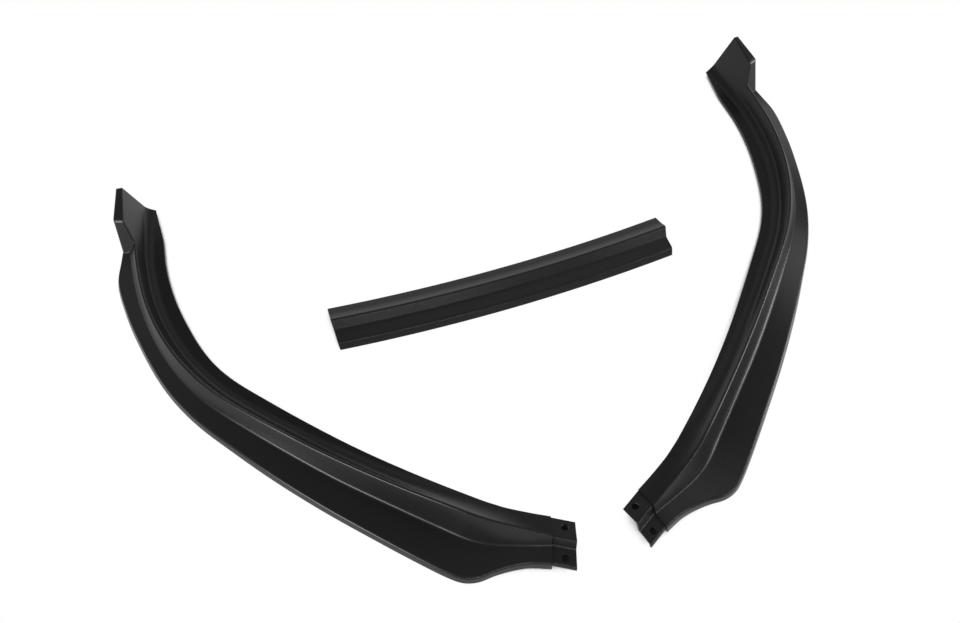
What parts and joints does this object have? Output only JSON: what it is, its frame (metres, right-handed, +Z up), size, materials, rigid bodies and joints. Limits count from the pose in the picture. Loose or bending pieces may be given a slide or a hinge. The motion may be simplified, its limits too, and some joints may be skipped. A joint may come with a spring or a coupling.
{
  "type": "front splitter lip",
  "caption": "Black moulded front splitter lip laid out as a set: mirrored side wings with raised ridge, rear fin and holed joint tongue, and a bowed centre strip that links them.",
  "frame": {"origin": "centre of the set's bounding box on the floor the pieces lie on", "axes": "+Z up, +X along the longer side of the layout to the right of the picture, +Y away from the viewer; the splitter's front faces -Y"},
  "size_m": [1.0151, 0.8297, 0.0899],
  "materials": {
    "black_plastic": "satin black moulded plastic with a fine grain"
  },
  "bodies": {
    "root": {"side_wing_left": "black_plastic", "joint_tongue_left": "black_plastic", "side_wing_right": "black_plastic", "joint_tongue_right": "black_plastic", "centre_strip": "black_plastic"}
  },
  "joints": []
}
